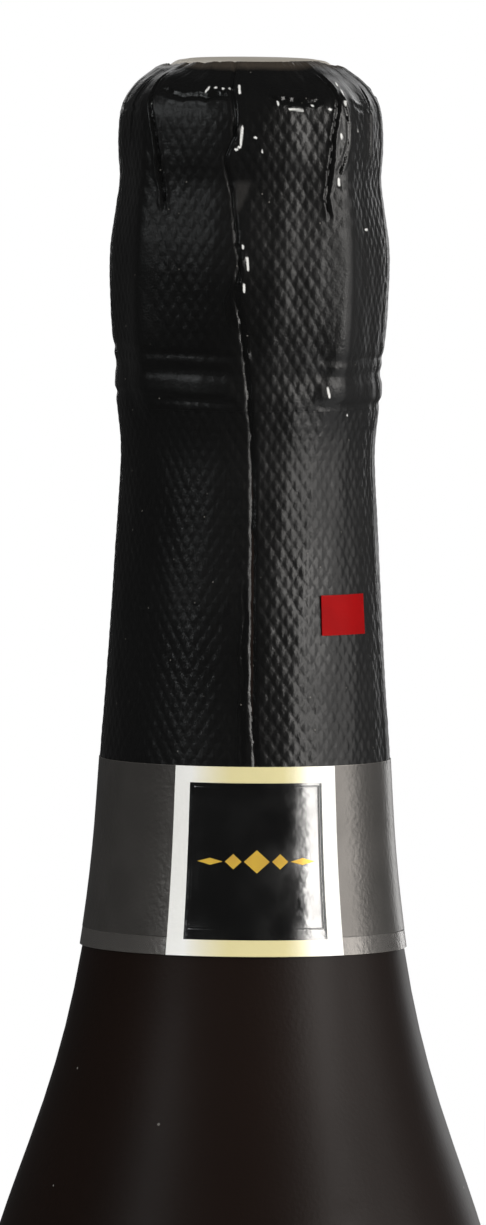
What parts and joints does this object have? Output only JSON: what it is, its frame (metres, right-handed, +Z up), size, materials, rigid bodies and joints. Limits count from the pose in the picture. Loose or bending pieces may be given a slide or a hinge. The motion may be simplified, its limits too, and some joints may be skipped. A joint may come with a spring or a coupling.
{
  "type": "sparkling wine bottle",
  "caption": "Unopened half bottle of sparkling wine: dark glass, wired cork, black embossed foil over the neck and a neck label.",
  "frame": {"origin": "centre of the face that the bottle stands on", "axes": "+Z up along the bottle's axis, -Y towards the front of the neck label"},
  "size_m": [0.0708, 0.0708, 0.2646],
  "materials": {
    "dark_glass": "dark brown-black bottle glass, nearly opaque",
    "pressed_cork": "pressed cork granules",
    "natural_cork": "natural cork with fine pores",
    "cap_enamel": "pale cream enamel on thin steel",
    "hood_wire": "galvanised steel wire",
    "black_foil": "black satin embossed foil",
    "label_paper": "dark grey satin label paper",
    "label_border": "pale gold and cream stamped border",
    "label_gloss": "glossy black varnish",
    "label_gold": "stamped gold",
    "sticker_red": "glossy red sticker"
  },
  "bodies": {
    "bottle": {"glass_bottle": "dark_glass", "foil_skirt": "black_foil", "neck_label": "label_paper", "label_border": "label_border", "label_panel": "label_gloss", "label_ornament": "label_gold", "neck_sticker": "sticker_red"},
    "cork": {"cork_body": "pressed_cork", "cork_disc_upper": "natural_cork", "cork_disc_lower": "natural_cork"},
    "hood": {"hood_cap": "cap_enamel", "hood_frame": "hood_wire", "hood_belt": "hood_wire"},
    "key": {"hood_key": "hood_wire"},
    "foil": {"foil_cap": "black_foil"}
  },
  "joints": [
    {"name": "cork_pull", "type": "slide", "parent": "bottle", "child": "cork", "axis": [0, 0, 1], "range_m": [0, 0.034], "deforming": ["foil_cap", "hood_frame", "hood_belt"]},
    {"name": "hood_lift", "type": "slide", "parent": "cork", "child": "hood", "axis": [0, 0, 1], "range_m": [0, 0.05], "deforming": ["foil_cap", "hood_frame", "hood_belt"]},
    {"name": "key_fold", "type": "hinge", "parent": "hood", "child": "key", "pos_m": [0, 0.0183, 0.2218], "axis": [-1, 0, 0], "range_deg": [0, 100], "deforming": ["foil_cap"]},
    {"name": "foil_lift", "type": "slide", "parent": "hood", "child": "foil", "axis": [0, 0, 1], "range_m": [0, 0.056], "deforming": ["foil_cap"]}
  ]
}
